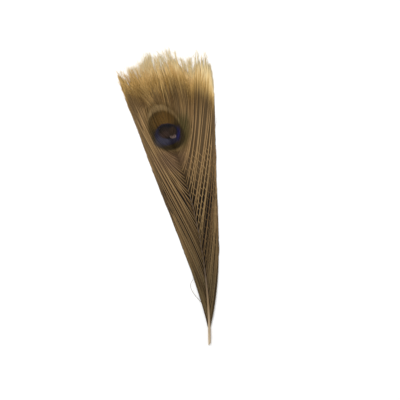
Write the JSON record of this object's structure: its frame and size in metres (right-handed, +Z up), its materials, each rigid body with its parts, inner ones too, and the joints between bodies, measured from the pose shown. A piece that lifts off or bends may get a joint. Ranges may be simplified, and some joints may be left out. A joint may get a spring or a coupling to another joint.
{
  "type": "peacock feather",
  "caption": "Trimmed peacock tail feather, dyed tan: a bowed horn shaft with a vane of loose barbs on each side and a ringed eye near the tip, lying face up.",
  "frame": {"origin": "on the table, under the middle of the feather's bounding box", "axes": "+Y from the cut end of the shaft to the barb tips, +Z up out of the face that shows the eye, +X to the right of the shaft seen from above"},
  "size_m": [0.0924, 0.2976, 0.0056],
  "materials": {
    "shaft_horn": "cream horn (keratin), satin, tan towards the eye",
    "dyed_barbs": "fine soft barbs dyed tan over a bronze eye with a violet-blue ring"
  },
  "bodies": {
    "root": {"shaft": "shaft_horn", "left_vane": "dyed_barbs", "right_vane": "dyed_barbs"}
  },
  "joints": []
}
